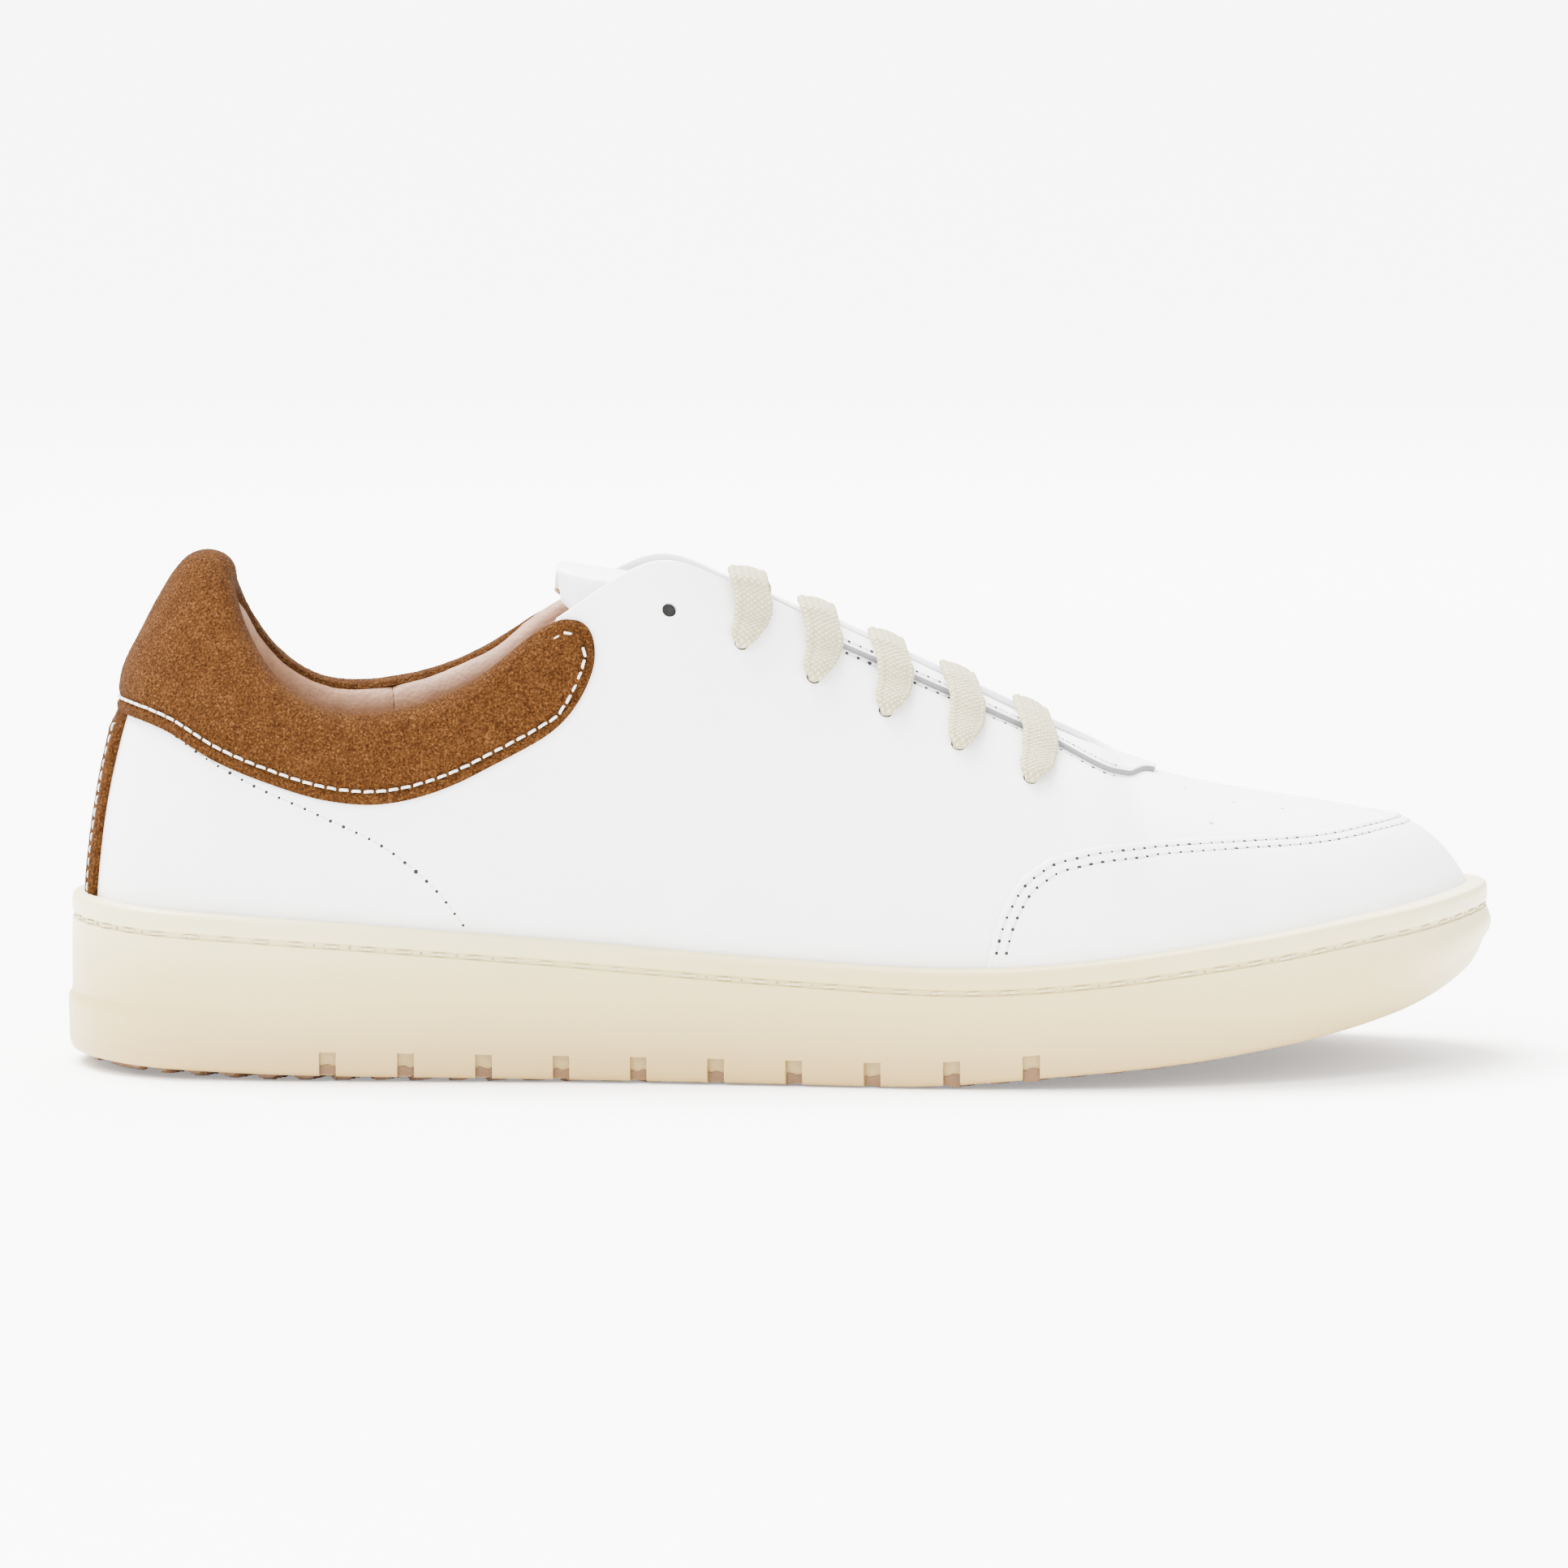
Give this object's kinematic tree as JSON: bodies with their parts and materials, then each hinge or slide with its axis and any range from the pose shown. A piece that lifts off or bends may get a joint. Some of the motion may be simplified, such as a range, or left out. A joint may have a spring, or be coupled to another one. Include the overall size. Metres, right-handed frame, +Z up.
{
  "type": "court shoe",
  "caption": "Low-top right court shoe with a white leather upper, padded tan suede collar, straight laces, stitched cream cup sole and gum tread.",
  "frame": {"origin": "middle of the bounding box at ground level", "axes": "+X to the toe, +Y to the inner (medial) side, +Z up"},
  "size_m": [0.2996, 0.1073, 0.1075],
  "materials": {
    "white_leather": "smooth full-grain leather, white, semi-matt",
    "tan_suede": "brushed suede, tan, short nap",
    "lining_leather": "soft lining leather, light tan",
    "cream_rubber": "moulded rubber, cream, slightly translucent",
    "gum_rubber": "moulded gum rubber, brown",
    "foam": "soft open foam",
    "fibre_board": "pressed cellulose board and stiffener",
    "cotton_lace": "flat braided cotton, cream",
    "aglet_plastic": "clear film tip over cream lace"
  },
  "bodies": {
    "shoe": {"upper": "white_leather", "toe_guard": "white_leather", "throat_trim": "white_leather", "collar_suede": "tan_suede", "heel_strip": "tan_suede", "heel_lining": "lining_leather", "outer_lining": "lining_leather", "inner_lining": "lining_leather", "toe_lining": "lining_leather", "footbed_cover": "lining_leather", "cup_sole": "cream_rubber", "tread": "gum_rubber", "collar_foam": "foam", "footbed_foam": "foam", "midsole_cushion": "foam", "heel_counter": "fibre_board", "toe_puff": "fibre_board", "insole_board": "fibre_board", "outer_eyestay_tape": "fibre_board", "inner_eyestay_tape": "fibre_board", "lace": "cotton_lace", "sole_stitch": "cotton_lace", "outer_aglet": "aglet_plastic", "inner_aglet": "aglet_plastic"},
    "tongue": {"tongue_outer": "white_leather", "tongue_foam": "foam", "tongue_lining": "lining_leather"}
  },
  "joints": [
    {"name": "tongue_hinge", "type": "hinge", "parent": "shoe", "child": "tongue", "pos_m": [0.063, 0, 0.058], "axis": [0, 1, 0], "range_deg": [-8, 0]}
  ]
}
